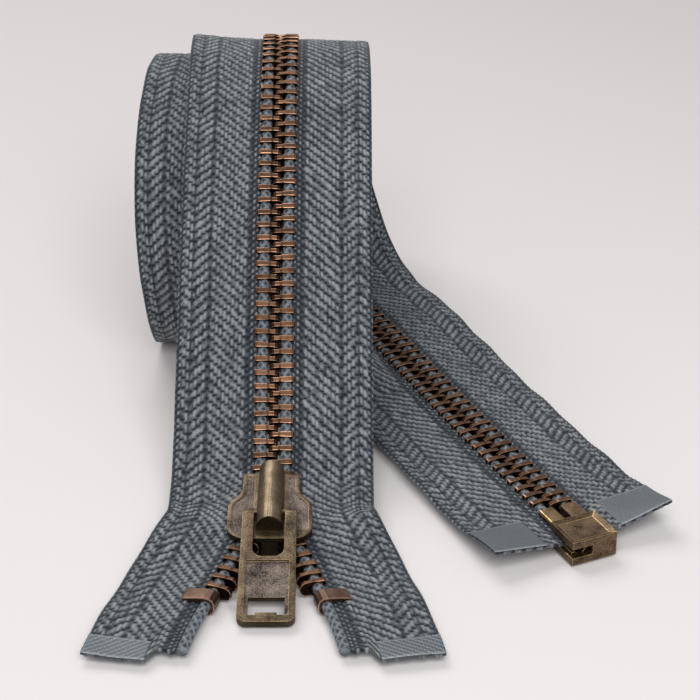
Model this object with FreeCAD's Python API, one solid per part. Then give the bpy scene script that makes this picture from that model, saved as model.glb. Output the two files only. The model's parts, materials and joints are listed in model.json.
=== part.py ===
import FreeCAD, Part
import bisect
import math
import os

V = FreeCAD.Vector

# ---------------------------------------------------------------- sizes, mm
# woven tape and its core cord
TAPE_HALF = 18.0            # chain centre to a tape's outer edge
TAPE_THICK = 0.7
CORD_R = 1.0
CORD_OUT = 2.2              # chain centre to a core cord's centre, when closed
CORD_SIDES = 8

# teeth
TOOTH_PITCH = 2.7           # along one row; the other row stands half a pitch on
TOOTH_THICK = 1.2
HEAD_THICK = 0.95
TOOTH_HEIGHT = 2.8
TOOTH_LEG = 1.45            # core cord's centre to the tooth's outer end
TOOTH_HEAD = 3.05           # core cord's centre to the tip of the head
HEAD_FROM = 1.2             # core cord's centre to where the head gets thinner
CORD_GAP = 0.05             # round the core cord
TAPE_GAP = 0.1              # between a jaw and the tape
BEND_GAP = 0.2              # from a tooth's outer end to where the tape folds

# top stops and bottom pins
STOP_LENGTH = 3.0
STOP_LEG = 4.2
STOP_HEAD = 1.6
STOP_HEIGHT = 3.4
PIN_LENGTH = 11.5
PIN_LEG = 1.6
PIN_HEAD = 1.6
PIN_HEIGHT = 3.0

# retainer box
BOX_LENGTH = 7.6
BOX_WIDTH = 8.8
BOX_THICK = 4.6
BOX_FLOOR = 0.9             # closed end wall
BOX_SLOT = 1.1              # slot for the right tape
BOX_MOUTH = 1.8             # slot on the insertion side, open through the end wall
MOUTH_INNER = 0.4           # from the box's middle to the mouth's inner end
BOX_PAST_TAPE = 3.3         # the box's end past the tapes' ends
PIN_GAP = 0.05              # the insertion pin in its socket
PIN_OUTSIDE = 5.2           # length of each pin that stands out of the box
PIN_INSIDE = PIN_LENGTH - PIN_OUTSIDE

# stiffening film at the tape ends
FILM_THICK = 0.12
FILM_LENGTH = 9.0
TOP_FILM_LENGTH = 4.5
FILM_WIDTH = 10.5
NOTCH_DEPTH = 2.9           # the inner third of a top end is cut shorter
NOTCH_SLANT = 1.2           # width of the notch's slanted side
CORD_SHORT = 3.4            # the core cord ends before the tape

# slider
SLIDER_LENGTH = 16.8
NECK_HALF = 4.95
SHOULDER_HALF = 7.3
NECK_STRAIGHT = 3.8         # straight part of the neck
FLARE_LENGTH = 5.2          # S-curve from neck to shoulder
SHOULDER_STRAIGHT = 4.2
FRONT_HALF = 4.4            # half of the straight front edge
BLADE = 0.9
CHANNEL = 3.4               # clear height between the blades
FLANGE_SLOT = 1.2           # slot in the flanges for the tape
CHANNEL_NECK = 3.95
CHANNEL_SHOULDER = 6.5
MOUTH_LENGTH = 2.9          # front part without flanges
DIAMOND_LENGTH = 3.6
DIAMOND_FRONT = 2.8
DIAMOND_TIP = 0.5
BODY_TOP = CHANNEL / 2 + BLADE
RIM = 0.7                   # raised rim round the sunk fields of the upper blade
FIELD_DEPTH = 0.2

# crown
CROWN_HALF = 2.6
CROWN_FOOT = 0.3            # straight foot below the half round
CROWN_WALL = 0.5
CROWN_FRONT = -6.4
CROWN_BACK = 8.8

# pull tab
BAR_R = 0.55
BAR_AT = -2.45              # along the slider, from its middle
BAR_FLOOR_GAP = 0.15        # under the cross bar
BAR_UP = BODY_TOP + BAR_FLOOR_GAP + BAR_R
PULL_SLOPE = 14.2           # degrees below level, where it lies
PULL_THICK = 1.5
PULL_RISE = 0.6             # plate's middle above the cross bar
PULL_TOP = 1.0              # where the arms get their full thickness
EYE_R = 0.62                # round ends of the arms on the cross bar
PULL_LENGTH = 25.7
PULL_WIDTH_TOP = 9.2
PULL_WIDTH_END = 9.7
PULL_CORNER = 1.5
PULL_SLOT = 5.4
PULL_SLOT_END = 11.4
PULL_SLOT_CORNER = 1.8
PANEL_FROM = 12.3
PANEL_HALF = 3.65
PANEL_DEPTH = 0.4
WINDOW_FROM = 20.2
WINDOW_TO = 24.3
WINDOW_HALF = 3.05
NUB_HALF = 1.8
NUB_FROM = 23.8
BAR_GAP = 0.1               # cross bar in the crown's windows

# lock pawl and spring
PAWL_HALF = 0.8
PAWL_THICK = 0.35
PAWL_FRONT = -3.6
PAWL_HEEL = 7.0
HEEL_R = 0.4
HEEL_HALF = 1.6
HEEL_GAP = 0.02
PAWL_GAP = 0.05             # between the cross bar and the pawl
PAWL_UP = BAR_UP + BAR_R + PAWL_GAP
PRONG_AT = 0.8
PRONG_LENGTH = 0.8
PRONG_IN = 0.9
PRONG_OUT = 1.5
PRONG_TIP = 1.15            # height above the chain's middle plane
WINDOW_GAP = 0.2            # round the prong in the upper blade
SPRING_HALF = 0.6
SPRING_THICK = 0.14
SPRING_FRONT = 1.5
SPRING_BACK = 7.8

# ---------------------------------------------------------------- how it lies
# The chain's middle line starts at the slider's middle and ends past the box.
SLIDER_AT = V(-13.8, 33.65, 4.0)
SLIDER_PITCH = 9.4

# Each run: length, then at its end the pitch, the helix angle and how far the
# left and the right tape fold about the chain, in degrees.
CHAIN_RUNS = [
    # slider, front strip and outer crest
    (8.4, 9.4, 0, 0, 0),
    (4.5, 34.5, 0, 0, 0),
    (17, 41, 0, 0, 0),
    (14, 41, 0, 0, 0),
    (24, 34.5, 0, 0, 0),
    (20.5, 27, 0, 0, 0),
    (20.5, 0, 1, 4, -3),
    # down the back of the outer turn, along the floor, up the front
    (43.6, -90, 3.5, 0, 0),
    (43, -180, 5.5, 4, 4),
    (18, -180, 5.5, 4, 4),
    (14, -240, 4.5, 0, 0),
    (19, -270, 3, 0, 0),
    # inner crest and the back of the inner turn
    (17, -315, 0, 0, 0),
    (31.6, -360, -5, 0, 0),
    (36.7, -450, -12, 0, 0),
    (36.5, -530, -20, -20, 0),
    # out along the floor to the retainer box
    (13, -541, -26, -74, 0),
    (18, -538, -25, -68, 0),
    (22, -537.5, -25, 0, 3),
    (45, -540, -25.5, 0, 0),
    (14, -540, -25.5, -9, -11),
]
# From the slider's middle towards the free ends: length, pitch at the end.
TOP_RUNS = [(8.35, 9.4), (9.35, 0), (7, 0), (20, 3.5)]
# A tape's inner edge once the rows part: length, angle off the chain at the end.
PART_AT = 3.5
SPLAY_RUNS = [(8, 20.5), (13, 17), (9, 16), (14.8, 9.5)]
STEP = 0.25                 # walking step
SECTION_GAP = 0.8           # least distance from an end section to the next

# where a row's pieces stand along the core cord, from where the rows part
LEFT_PHASE = 0.0
RIGHT_PHASE = TOOTH_PITCH / 2
TOP_STOP_AT = 27.5
FREE_TEETH_END = TOP_STOP_AT - STOP_LENGTH / 2 - TOOTH_THICK


# ---------------------------------------------------------------- the line
def directions(pitch, helix):
    """Unit vectors along the chain, across it to the right, and out of its face."""
    p = math.radians(pitch)
    h = math.radians(helix)
    along = V(-math.sin(h), math.cos(h) * math.cos(p), math.cos(h) * math.sin(p))
    across = V(math.cos(h), math.sin(h) * math.cos(p), math.sin(h) * math.sin(p))
    out = V(0, -math.sin(p), math.cos(p))
    return along, across, out


def walk(runs, sign):
    """Rows of (distance, point, pitch, helix, left fold, right fold)."""
    distance = 0.0
    point = SLIDER_AT
    state = (SLIDER_PITCH, 0.0, 0.0, 0.0)
    rows = [(distance, point, *state)]
    for run in runs:
        length = run[0]
        target = tuple(run[1:]) + (0.0,) * (5 - len(run))
        count = max(1, round(length / STEP))
        for i in range(count):
            middle = [a + (b - a) * (i + 0.5) / count for a, b in zip(state, target)]
            after = [a + (b - a) * (i + 1) / count for a, b in zip(state, target)]
            along = directions(middle[0], middle[1])[0]
            point = point + along * (sign * length / count)
            distance += sign * length / count
            rows.append((distance, point, *after))
        state = target
    return rows


LINE = walk(TOP_RUNS, -1)[:0:-1] + walk(CHAIN_RUNS, 1)
DISTANCES = [row[0] for row in LINE]
CHAIN_END = LINE[-1][0]


def on_line(s):
    """Values of the line at distance s from the slider's middle."""
    i = min(max(bisect.bisect_right(DISTANCES, s) - 1, 0), len(LINE) - 2)
    a, b = LINE[i], LINE[i + 1]
    f = (s - a[0]) / (b[0] - a[0])
    point = a[1] + (b[1] - a[1]) * f
    values = [x + (y - x) * f for x, y in zip(a[2:], b[2:])]
    return point, values


def frame(s):
    """Point, along, across and out at distance s."""
    point, values = on_line(s)
    return (point, *directions(values[0], values[1]))


def on_face(s, b):
    """The point of the tapes' middle face at distance s, b to the right of the chain."""
    point, along, across, out = frame(s)
    return point + across * b


def splay():
    """Rows of (length, s, b, angle) along a core cord after the rows part."""
    length, s, b, angle = 0.0, PART_AT, CORD_OUT, 0.0
    rows = [(length, s, b, angle)]
    for run, target in SPLAY_RUNS:
        count = max(1, round(run / STEP))
        for i in range(count):
            a = math.radians(angle + (target - angle) * (i + 0.5) / count)
            s -= run / count * math.cos(a)
            b += run / count * math.sin(a)
            length += run / count
            rows.append((length, s, b, angle + (target - angle) * (i + 1) / count))
        angle = target
    return rows


SPLAY = splay()
SPLAY_LENGTHS = [row[0] for row in SPLAY]
FREE_LENGTH = SPLAY_LENGTHS[-1]


def cord_at(t):
    """(s, b, angle) on a core cord, t past the parting point (t < 0: closed chain)."""
    if t <= 0:
        return PART_AT - t, CORD_OUT, 0.0
    i = min(bisect.bisect_right(SPLAY_LENGTHS, t) - 1, len(SPLAY) - 2)
    a, b = SPLAY[i], SPLAY[i + 1]
    f = (t - a[0]) / (b[0] - a[0])
    return tuple(x + (y - x) * f for x, y in zip(a[1:], b[1:]))


def cord_frame(t, side):
    """Core cord's centre, outward across the tape, along and out of the face."""
    s, b, angle = cord_at(t)
    point, along, across, out = frame(s)
    a = math.radians(angle)
    outward = across * (side * math.cos(a)) + along * math.sin(a)
    forward = out.cross(outward)
    return point + across * (side * b), outward, forward, out


# ---------------------------------------------------------------- helpers
def loft(sections):
    """One solid through closed sections of equally many points."""
    wires = [Part.makePolygon(points + points[:1]) for points in sections]
    solid = Part.makeLoft(wires, True, True)
    if solid.Volume < 0:
        solid.reverse()
    return solid


def prism(points, direction):
    """A flat polygon drawn out along a vector."""
    return Part.Face(Part.makePolygon(points + points[:1])).extrude(direction)


def box(x0, x1, y0, y1, z0, z1):
    return Part.makeBox(x1 - x0, y1 - y0, z1 - z0, V(x0, y0, z0))


def placed(shape, point, x, y, z):
    """A copy of a shape drawn at the origin, in the frame x, y, z at a point."""
    matrix = FreeCAD.Matrix(
        x.x, y.x, z.x, point.x,
        x.y, y.y, z.y, point.y,
        x.z, y.z, z.z, point.z,
        0, 0, 0, 1,
    )
    copy = shape.copy()
    copy.transformShape(matrix)
    return copy


def on_slider(shape):
    point, along, across, out = frame(0.0)
    return placed(shape, point, across, along, out)


# ---------------------------------------------------------------- tapes
def stations(side, first, last):
    """Places along one tape from first to last, half way between its teeth."""
    phase = LEFT_PHASE if side < 0 else RIGHT_PHASE
    count = math.ceil((last - first) / TOOTH_PITCH) + math.ceil(abs(last) / TOOTH_PITCH)
    places = [phase + (k + 0.5) * TOOTH_PITCH for k in range(-count, count)]
    inside = [t for t in places if first + SECTION_GAP < t < last - SECTION_GAP]
    return [first] + inside + [last]


def tape_section(t, side, reach, low, high, start):
    """Cross-section of a tape, from start to reach off the core cord's centre."""
    centre, outward, forward, out = cord_frame(t, side)
    s, b, angle = cord_at(t)
    fold = math.radians(on_line(s)[1][2 if side < 0 else 3])
    bend = TOOTH_LEG + BEND_GAP
    inner, inner_out = centre + outward * start, out
    if angle:
        a = math.radians(angle)
        far = on_face(s + reach * math.sin(a), side * (b + reach * math.cos(a)))
        near = inner + (far - inner) * ((bend - start) / (reach - start))
        half = far_out = out
    else:
        folded = outward * math.cos(fold) + out * math.sin(fold)
        near = centre + outward * bend
        far = near + folded * (reach - bend)
        half = out * math.cos(fold / 2) - outward * math.sin(fold / 2)
        far_out = out * math.cos(fold) - outward * math.sin(fold)
        if start > bend:
            inner, inner_out = near + folded * (start - bend), far_out
    points = [
        inner + inner_out * low,
        far + far_out * low,
        far + far_out * high,
        inner + inner_out * high,
    ]
    if start < bend:
        points.insert(1, near + half * low)
        points.insert(-1, near + half * high)
    return points


def tape(side):
    reach = TAPE_HALF - CORD_OUT
    start = CORD_R * math.cos(math.pi / CORD_SIDES)
    half = TAPE_THICK / 2
    places = stations(side, PART_AT - CHAIN_END, FREE_LENGTH)
    solid = loft([tape_section(t, side, reach, -half, half, start) for t in places])
    return solid.cut(top_notch(side))


def top_notch(side):
    """What is cut from the inner third of a tape's top end."""
    centre, outward, forward, out = cord_frame(FREE_LENGTH - NOTCH_DEPTH, side)
    past_end = forward * (-side * (NOTCH_DEPTH + TAPE_THICK))
    inner = TAPE_HALF - CORD_OUT - FILM_WIDTH
    points = [
        centre,
        centre + outward * (inner - NOTCH_SLANT),
        centre + outward * inner + past_end,
        centre + past_end,
    ]
    return prism([p - out * CORD_R for p in points], out * (2 * CORD_R))


def core_cord(side):
    turn = 2 * math.pi / CORD_SIDES
    sections = []
    for t in stations(side, PART_AT - BOX_START - PIN_INSIDE, FREE_LENGTH - CORD_SHORT):
        centre, outward, forward, out = cord_frame(t, side)
        ring = []
        for k in range(CORD_SIDES):
            a = turn * (k + 0.5)
            ring.append(centre + outward * (CORD_R * math.cos(a)) + out * (CORD_R * math.sin(a)))
        sections.append(ring)
    return loft(sections)


def film(side, first, last, face):
    """A thin patch on one face of a tape, from place first to place last."""
    reach = TAPE_HALF - CORD_OUT
    low, high = sorted((face * TAPE_THICK / 2, face * (TAPE_THICK / 2 + FILM_THICK)))
    places = stations(side, first, last)
    start = reach - FILM_WIDTH
    return loft([tape_section(t, side, reach, low, high, start) for t in places])


# ---------------------------------------------------------------- clamped metal
def clamp(length, leg, head, height, head_length):
    """A piece clamped on a core cord. x is outward across the tape, y along, z out."""
    x0, x1 = -HEAD_FROM, leg
    if head_length is None:
        x0 = -head
    body = box(x0, x1, -length / 2, length / 2, -height / 2, height / 2)
    if head_length is not None:
        body = body.fuse(
            box(-head, x0, -head_length / 2, head_length / 2, -height / 2, height / 2)
        )
    room = CORD_R + CORD_GAP
    body = body.cut(box(-room, room, -length, length, -room, room))
    mouth = TAPE_THICK / 2 + TAPE_GAP
    body = body.cut(box(0, leg + 1, -length, length, -mouth, mouth))
    return body.removeSplitter()


def clamped(shape, t, side):
    centre, outward, forward, out = cord_frame(t, side)
    return placed(shape, centre, outward, forward, out)


def teeth(side, first, last):
    """The teeth of one row between two places on the core cord."""
    phase = LEFT_PHASE if side < 0 else RIGHT_PHASE
    tooth = clamp(TOOTH_THICK, TOOTH_LEG, TOOTH_HEAD, TOOTH_HEIGHT, HEAD_THICK)
    count = math.ceil((last - first) / TOOTH_PITCH) + 2
    start = math.ceil((first - phase) / TOOTH_PITCH)
    places = [phase + (start + k) * TOOTH_PITCH for k in range(count)]
    solids = [clamped(tooth, t, side).Solids[0] for t in places if first <= t < last]
    return Part.makeCompound(solids)


# ---------------------------------------------------------------- retainer box
BOX_START = CHAIN_END + BOX_PAST_TAPE - BOX_LENGTH
PIN_START = BOX_START - PIN_OUTSIDE


def on_box(shape):
    """Places a shape drawn with x across, y along from the box mouth, z out."""
    point, along, across, out = frame(BOX_START)
    return placed(shape, point, across, along, out)


def bottom_pin(side):
    """A long sleeve clamped on a core cord; its lower part stands in the box."""
    shape = clamp(PIN_LENGTH, PIN_LEG, PIN_HEAD, PIN_HEIGHT, None)
    shape = shape if side > 0 else shape.mirror(V(0, 0, 0), V(1, 0, 0))
    shape.translate(V(side * CORD_OUT, PIN_LENGTH / 2 - PIN_OUTSIDE, 0))
    return on_box(shape)


def retainer_box():
    half = BOX_WIDTH / 2
    up = BOX_THICK / 2
    body = box(-half, half, 0, BOX_LENGTH, -up, up)
    pin_up = PIN_HEIGHT / 2
    for side, gap in ((-1, PIN_GAP), (1, 0.0)):
        x0 = side * (CORD_OUT - PIN_HEAD - gap)
        x1 = side * (CORD_OUT + PIN_LEG + gap)
        body = body.cut(
            box(min(x0, x1), max(x0, x1), -1, PIN_INSIDE + PIN_GAP, -pin_up - gap, pin_up + gap)
        )
    slot, mouth = BOX_SLOT / 2, BOX_MOUTH / 2
    body = body.cut(box(-half - 1, -MOUTH_INNER, -1, BOX_LENGTH + 1, -mouth, mouth))
    body = body.cut(box(CORD_OUT, half + 1, -1, BOX_LENGTH - BOX_FLOOR, -slot, slot))
    return on_box(body)


# ---------------------------------------------------------------- slider
def s_curve(x0, y0, x1, y1):
    """Two equal arcs from (x0, y0) to (x1, y1), both ends along -y."""
    wide, long = x1 - x0, y0 - y1
    turn = 2 * math.atan2(wide, long)
    r = long / (2 * math.sin(turn))

    def first(a):
        return V(x0 + r - r * math.cos(a), y0 - r * math.sin(a), 0)

    def second(a):
        return V(x1 - r + r * math.cos(a), y1 + r * math.sin(a), 0)

    return [
        Part.Arc(first(0), first(turn / 2), first(turn)).toShape(),
        Part.Arc(second(turn), second(turn / 2), second(0)).toShape(),
    ]


def mirrored(edges):
    other = []
    for edge in reversed(edges):
        copy = edge.copy()
        other.append(copy.mirror(V(0, 0, 0), V(1, 0, 0)))
    return other


def plan(neck, shoulder, front, back, corner_at, corner_y):
    """Face of the slider's outline with the given half widths."""
    y0 = SLIDER_LENGTH / 2 - NECK_STRAIGHT
    y1 = y0 - FLARE_LENGTH
    edges = [Part.LineSegment(V(neck, back, 0), V(neck, y0, 0)).toShape()]
    edges += s_curve(neck, y0, shoulder, y1)
    edges.append(Part.LineSegment(V(shoulder, y1, 0), V(shoulder, corner_y, 0)).toShape())
    if corner_at < shoulder:
        middle = V(
            corner_at + (shoulder - corner_at) * math.sin(math.pi / 4),
            corner_y - (corner_y - front) * math.sin(math.pi / 4),
            0,
        )
        edges.append(Part.Arc(V(shoulder, corner_y, 0), middle, V(corner_at, front, 0)).toShape())
    end = V(min(corner_at, shoulder), front, 0)
    edges.append(Part.LineSegment(end, V(-end.x, front, 0)).toShape())
    rest = mirrored(edges[:-1])
    close = Part.LineSegment(V(-neck, back, 0), V(neck, back, 0)).toShape()
    return Part.Face(Part.Wire(edges + rest + [close]))


def diamond():
    front = -SLIDER_LENGTH / 2
    points = [
        V(-DIAMOND_FRONT / 2, front, 0),
        V(DIAMOND_FRONT / 2, front, 0),
        V(DIAMOND_TIP / 2, front + DIAMOND_LENGTH, 0),
        V(-DIAMOND_TIP / 2, front + DIAMOND_LENGTH, 0),
    ]
    return prism([p - V(0, 0, BODY_TOP) for p in points], V(0, 0, 2 * BODY_TOP))


def slider_body():
    half = SLIDER_LENGTH / 2
    straight_end = half - NECK_STRAIGHT - FLARE_LENGTH - SHOULDER_STRAIGHT
    beside_crown = box(-CROWN_HALF - CROWN_FOOT, CROWN_HALF + CROWN_FOOT, -half, half, 0, 2 * BODY_TOP)
    outline = plan(NECK_HALF, SHOULDER_HALF, -half, half, FRONT_HALF, straight_end)
    body = outline.extrude(V(0, 0, 2 * BODY_TOP))
    body.translate(V(0, 0, -BODY_TOP))
    fields = outline.makeOffset2D(-RIM).extrude(V(0, 0, FIELD_DEPTH + 1))
    fields.translate(V(0, 0, BODY_TOP - FIELD_DEPTH))
    body = body.cut(fields.cut(beside_crown))
    inside = plan(CHANNEL_NECK, CHANNEL_SHOULDER, -half - 1, half + 1, CHANNEL_SHOULDER, -half - 1)
    channel = inside.extrude(V(0, 0, CHANNEL))
    channel.translate(V(0, 0, -CHANNEL / 2))
    wide = SHOULDER_HALF + 1
    slot = box(-wide, wide, -half - 1, half + 1, -FLANGE_SLOT / 2, FLANGE_SLOT / 2)
    mouth = box(-wide, wide, -half - 1, -half + MOUTH_LENGTH, -CHANNEL / 2, CHANNEL / 2)
    wedge = diamond()
    for cutter in (channel, slot, mouth):
        body = body.cut(cutter.cut(wedge))
    window = box(
        PRONG_IN - WINDOW_GAP,
        PRONG_OUT + WINDOW_GAP,
        PRONG_AT - PRONG_LENGTH / 2 - WINDOW_GAP,
        PRONG_AT + PRONG_LENGTH / 2 + WINDOW_GAP,
        0,
        2 * BODY_TOP,
    )
    return on_slider(body.cut(window).removeSplitter())


def half_round(radius, foot_z, centre_z, y0, y1):
    """A half-round bar on straight feet, along y."""
    wire = Part.Wire([
        Part.LineSegment(V(-radius, y0, foot_z), V(-radius, y0, centre_z)).toShape(),
        Part.Arc(
            V(-radius, y0, centre_z), V(0, y0, centre_z + radius), V(radius, y0, centre_z)
        ).toShape(),
        Part.LineSegment(V(radius, y0, centre_z), V(radius, y0, foot_z)).toShape(),
        Part.LineSegment(V(radius, y0, foot_z), V(-radius, y0, foot_z)).toShape(),
    ])
    return Part.Face(wire).extrude(V(0, y1 - y0, 0))


def slider_crown():
    centre = BODY_TOP + CROWN_FOOT
    shell = half_round(CROWN_HALF, BODY_TOP, centre, CROWN_FRONT, CROWN_BACK)
    inner = half_round(
        CROWN_HALF - CROWN_WALL,
        BODY_TOP - 1,
        centre,
        CROWN_FRONT + CROWN_WALL,
        CROWN_BACK - CROWN_WALL,
    )
    window = box(
        -CROWN_HALF - 1,
        CROWN_HALF + 1,
        BAR_AT - BAR_R - BAR_GAP,
        BAR_AT + BAR_R + BAR_GAP,
        BODY_TOP - 1,
        BAR_UP + BAR_R + BAR_GAP,
    )
    past_body = box(
        -CROWN_HALF - 1, CROWN_HALF + 1, SLIDER_LENGTH / 2, CROWN_BACK + 1, 0, centre
    )
    return on_slider(shell.cut(inner).cut(window).cut(past_body))


def lock_pawl():
    heel_z = BODY_TOP + HEEL_R + HEEL_GAP
    strip = box(-PAWL_HALF, PAWL_HALF, PAWL_FRONT, PAWL_HEEL, PAWL_UP, PAWL_UP + PAWL_THICK)
    web = box(
        -PAWL_HALF, PAWL_HALF, PAWL_HEEL - PAWL_THICK, PAWL_HEEL, heel_z, PAWL_UP + PAWL_THICK
    )
    heel = Part.makeCylinder(HEEL_R, 2 * HEEL_HALF, V(-HEEL_HALF, PAWL_HEEL, heel_z), V(1, 0, 0))
    y0 = PRONG_AT - PRONG_LENGTH / 2
    y1 = PRONG_AT + PRONG_LENGTH / 2
    arm = box(0, PRONG_OUT, y0, y1, PAWL_UP, PAWL_UP + PAWL_THICK)
    prong = box(PRONG_IN, PRONG_OUT, y0, y1, PRONG_TIP, PAWL_UP + PAWL_THICK)
    return on_slider(strip.fuse([web, heel, arm, prong]).removeSplitter())


def lock_spring():
    roof = BODY_TOP + CROWN_FOOT
    roof += math.sqrt((CROWN_HALF - CROWN_WALL) ** 2 - SPRING_HALF**2) - HEEL_GAP
    rest = PAWL_UP + PAWL_THICK + HEEL_GAP
    points = [
        V(-SPRING_HALF, SPRING_BACK, roof - SPRING_THICK),
        V(-SPRING_HALF, SPRING_BACK, roof),
        V(-SPRING_HALF, SPRING_FRONT, rest + SPRING_THICK),
        V(-SPRING_HALF, SPRING_FRONT, rest),
    ]
    return on_slider(prism(points, V(2 * SPRING_HALF, 0, 0)))


def rounded(points, radii):
    """Closed flat wire through points with corners of the given radii."""
    edges = []
    count = len(points)
    ends = []
    for i, (corner, radius) in enumerate(zip(points, radii)):
        before = (points[i - 1] - corner).normalize()
        after = (points[(i + 1) % count] - corner).normalize()
        if radius == 0:
            ends.append((corner, corner))
            continue
        half = before.getAngle(after) / 2
        cut = radius / math.tan(half)
        first, last = corner + before * cut, corner + after * cut
        centre = corner + (before + after).normalize() * (radius / math.sin(half))
        middle = centre + (corner - centre).normalize() * radius
        edges.append((i, Part.Arc(first, middle, last).toShape()))
        ends.append((first, last))
    arcs = dict(edges)
    path = []
    for i in range(count):
        if i in arcs:
            path.append(arcs[i])
        path.append(Part.LineSegment(ends[i][1], ends[(i + 1) % count][0]).toShape())
    return Part.Wire(path)


def pull_tab():
    """Drawn with x across, y from the cross bar to the tip, z out of the plate."""
    low = PULL_RISE - PULL_THICK / 2
    a, b, c = PULL_WIDTH_TOP / 2, PULL_WIDTH_END / 2, PULL_SLOT / 2
    points = [
        V(-a, PULL_TOP, low), V(-b, PULL_LENGTH, low), V(b, PULL_LENGTH, low),
        V(a, PULL_TOP, low), V(c, PULL_TOP, low), V(c, PULL_SLOT_END, low),
        V(-c, PULL_SLOT_END, low), V(-c, PULL_TOP, low),
    ]
    corner, slot_corner = PULL_CORNER, PULL_SLOT_CORNER
    radii = [0, corner, corner, 0, 0, slot_corner, slot_corner, 0]
    plate = Part.Face(rounded(points, radii)).extrude(V(0, 0, PULL_THICK))
    top = low + PULL_THICK
    panel = box(-PANEL_HALF, PANEL_HALF, PANEL_FROM, WINDOW_TO, top - PANEL_DEPTH, top + 1)
    window = box(-WINDOW_HALF, WINDOW_HALF, WINDOW_FROM, WINDOW_TO, low - 1, top + 1)
    nub = box(-NUB_HALF, NUB_HALF, NUB_FROM, WINDOW_TO, low, top)
    bar = Part.makeCylinder(BAR_R, PULL_SLOT + 2, V(-PULL_SLOT / 2 - 1, 0, 0), V(1, 0, 0))
    ends = []
    for x0 in (-a, c):
        side = [V(x0, 0, low), V(x0, PULL_TOP, low), V(x0, PULL_TOP, top), V(x0, 0, EYE_R)]
        ends.append(prism(side, V(a - c, 0, 0)))
        ends.append(Part.makeCylinder(EYE_R, a - c, V(x0, 0, 0), V(1, 0, 0)))
    shape = plate.cut(panel).cut(window).fuse([nub, bar] + ends).removeSplitter()
    slope = math.radians(PULL_SLOPE)
    toward = V(0, -math.cos(slope), -math.sin(slope))
    out = V(0, -math.sin(slope), math.cos(slope))
    return placed(shape, slider_point(BAR_AT, BAR_UP), toward.cross(out), toward, out)


def slider_point(y, z):
    """A point on the slider's middle plane, y along it and z above the chain."""
    point, along, across, out = frame(0.0)
    return point + along * y + out * z


# ---------------------------------------------------------------- the zipper
def build():
    chain_top = 0.0
    chain_bottom = PART_AT - PIN_START + TOOTH_THICK
    end = PART_AT - CHAIN_END
    parts = {}
    for name, side in (("left", -1), ("right", 1)):
        parts[name + "_tape"] = tape(side)
        parts[name + "_core_cord"] = core_cord(side)
        parts[name + "_teeth"] = teeth(side, chain_bottom, chain_top)
        parts[name + "_end_teeth"] = teeth(side, chain_top, FREE_TEETH_END)
        stop = clamp(STOP_LENGTH, STOP_LEG, STOP_HEAD, STOP_HEIGHT, None)
        parts[name + "_top_stop"] = clamped(stop, TOP_STOP_AT, side)
        parts[name + "_top_film"] = film(side, FREE_LENGTH - TOP_FILM_LENGTH, FREE_LENGTH, 1)
        parts[name + "_bottom_film"] = film(side, end, end + FILM_LENGTH, -1)
    parts["insertion_pin"] = bottom_pin(-1)
    parts["retainer_pin"] = bottom_pin(1)
    parts["retainer_box"] = retainer_box()
    parts["slider_body"] = slider_body()
    parts["slider_crown"] = slider_crown()
    parts["lock_pawl"] = lock_pawl()
    parts["lock_spring"] = lock_spring()
    parts["pull_tab"] = pull_tab()
    return parts


def main():
    parts = build()
    bounds = FreeCAD.BoundBox()
    for shape in parts.values():
        bounds.add(shape.BoundBox)
    shift = V(-bounds.Center.x, -bounds.Center.y, -bounds.ZMin)
    os.makedirs("parts", exist_ok=True)
    for name, shape in parts.items():
        shape.translate(shift)
        shape.exportStep("parts/" + name + ".step")
        volume = sum(s.Volume for s in shape.Solids)
        print(name, len(shape.Solids), "solids", round(volume, 1), "mm3", shape.isValid())
    print("size", [round(x, 2) for x in (bounds.XLength, bounds.YLength, bounds.ZLength)])
    for label, point in (
        ("slider", SLIDER_AT),
        ("pull axis", slider_point(BAR_AT, BAR_UP)),
        ("pawl axis", slider_point(PAWL_HEEL, BODY_TOP + HEEL_R + HEEL_GAP)),
        ("left parting point", on_face(PART_AT, -CORD_OUT)),
        ("right parting point", on_face(PART_AT, CORD_OUT)),
        ("box", frame(BOX_START)[0]),
        ("chain end", frame(CHAIN_END)[0]),
    ):
        print(label, [round(x, 3) for x in point + shift])
    print("tape length", round(CHAIN_END - PART_AT + FREE_LENGTH, 1))


main()
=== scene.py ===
import json
import math

import bmesh
import bpy
import numpy as np
from mathutils import Matrix, Vector


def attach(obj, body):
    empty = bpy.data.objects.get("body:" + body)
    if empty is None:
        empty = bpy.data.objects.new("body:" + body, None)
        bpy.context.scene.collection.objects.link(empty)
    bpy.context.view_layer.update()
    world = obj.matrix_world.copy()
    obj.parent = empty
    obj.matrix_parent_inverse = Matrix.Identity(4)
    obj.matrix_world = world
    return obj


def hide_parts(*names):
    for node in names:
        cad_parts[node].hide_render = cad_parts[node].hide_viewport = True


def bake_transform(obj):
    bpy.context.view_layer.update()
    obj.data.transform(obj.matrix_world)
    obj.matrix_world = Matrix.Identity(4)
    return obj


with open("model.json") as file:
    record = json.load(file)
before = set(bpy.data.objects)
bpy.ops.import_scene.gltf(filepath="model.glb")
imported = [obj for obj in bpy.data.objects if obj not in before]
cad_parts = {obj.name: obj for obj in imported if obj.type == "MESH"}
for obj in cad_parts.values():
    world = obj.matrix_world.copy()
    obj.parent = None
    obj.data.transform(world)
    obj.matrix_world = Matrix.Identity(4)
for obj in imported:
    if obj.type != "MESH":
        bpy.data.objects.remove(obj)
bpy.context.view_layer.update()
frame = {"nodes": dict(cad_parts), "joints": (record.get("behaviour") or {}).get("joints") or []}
rng = np.random.default_rng(8)
MM = 0.001

# ------------------------------------------------------------ how it lies, mm
# The CAD model's own path values: a change there is made here as well.
SLIDER_AT = np.array([-13.8, 33.65, 4.0])
SLIDER_PITCH = 9.4
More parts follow.
